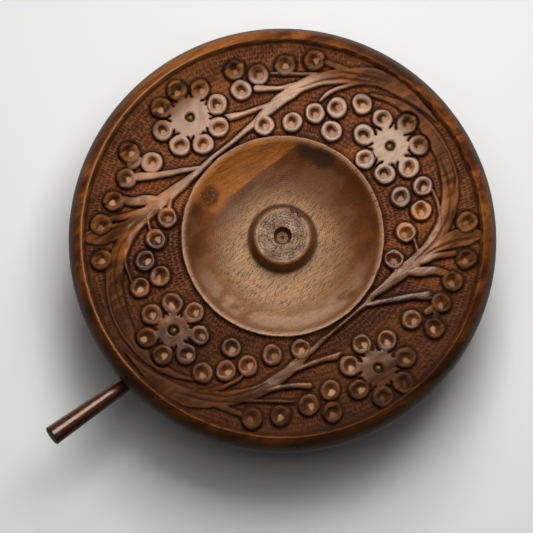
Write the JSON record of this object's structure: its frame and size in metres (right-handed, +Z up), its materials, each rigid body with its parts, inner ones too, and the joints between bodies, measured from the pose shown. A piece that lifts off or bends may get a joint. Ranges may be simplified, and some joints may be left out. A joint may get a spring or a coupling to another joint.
{
  "type": "round lidded spice box with spoon",
  "caption": "Round turned wooden spice box: relief-carved lid with finger dish and knob, lift-out cups inside, and a small spoon whose tapered handle leaves through a notch under the lid.",
  "frame": {"origin": "on the turning axis, on the table under the foot of the bowl", "axes": "+Z up along the turning axis; +X and +Y lie on the table, and the spoon handle leaves at 222 degrees from +X towards +Y"},
  "size_m": [0.1574, 0.15, 0.06],
  "materials": {
    "rosewood": "oiled, satin, carved and rubbed on the high spots",
    "knob_wood": "end grain straight from the gouge, dry and matt",
    "peg_wood": "dry end grain",
    "dark_lacquered_wood": "dark red-brown, glossy lacquer",
    "cup_wood": "oiled, satin",
    "brass": "dull, slightly tarnished"
  },
  "bodies": {
    "box": {"bowl": "rosewood"},
    "lid": {"lid_disc": "rosewood", "lid_knob": "knob_wood", "knob_dowel": "peg_wood", "rosette_pins": "brass"},
    "spoon": {"spoon_handle": "dark_lacquered_wood", "spoon_bowl": "rosewood"},
    "cup_centre": {"cup_centre": "cup_wood"},
    "cup_1": {"cup_1": "cup_wood"},
    "cup_2": {"cup_2": "cup_wood"},
    "cup_3": {"cup_3": "cup_wood"},
    "cup_4": {"cup_4": "cup_wood"},
    "cup_5": {"cup_5": "cup_wood"},
    "cup_6": {"cup_6": "cup_wood"}
  },
  "joints": [
    {"name": "lid_lift", "type": "slide", "parent": "box", "child": "lid", "axis": [0, 0, 1], "range_m": [0, 0.08]},
    {"name": "spoon_lift", "type": "slide", "parent": "box", "child": "spoon", "axis": [0, 0, 1], "range_m": [0, 0.04]},
    {"name": "cup_centre_lift", "type": "slide", "parent": "box", "child": "cup_centre", "axis": [0, 0, 1], "range_m": [0, 0.02]},
    {"name": "cup_1_lift", "type": "slide", "parent": "box", "child": "cup_1", "axis": [0, 0, 1], "range_m": [0, 0.02]},
    {"name": "cup_2_lift", "type": "slide", "parent": "box", "child": "cup_2", "axis": [0, 0, 1], "range_m": [0, 0.02]},
    {"name": "cup_3_lift", "type": "slide", "parent": "box", "child": "cup_3", "axis": [0, 0, 1], "range_m": [0, 0.02]},
    {"name": "cup_4_lift", "type": "slide", "parent": "box", "child": "cup_4", "axis": [0, 0, 1], "range_m": [0, 0.02]},
    {"name": "cup_5_lift", "type": "slide", "parent": "box", "child": "cup_5", "axis": [0, 0, 1], "range_m": [0, 0.02]},
    {"name": "cup_6_lift", "type": "slide", "parent": "box", "child": "cup_6", "axis": [0, 0, 1], "range_m": [0, 0.02]}
  ],
  "couplings": [
    {"joint": "spoon_lift", "follows": "lid_lift", "ratio": 0.5},
    {"joint": "cup_centre_lift", "follows": "lid_lift", "ratio": 0.25},
    {"joint": "cup_1_lift", "follows": "lid_lift", "ratio": 0.25},
    {"joint": "cup_2_lift", "follows": "lid_lift", "ratio": 0.25},
    {"joint": "cup_3_lift", "follows": "lid_lift", "ratio": 0.25},
    {"joint": "cup_4_lift", "follows": "lid_lift", "ratio": 0.25},
    {"joint": "cup_5_lift", "follows": "lid_lift", "ratio": 0.25},
    {"joint": "cup_6_lift", "follows": "lid_lift", "ratio": 0.25}
  ]
}
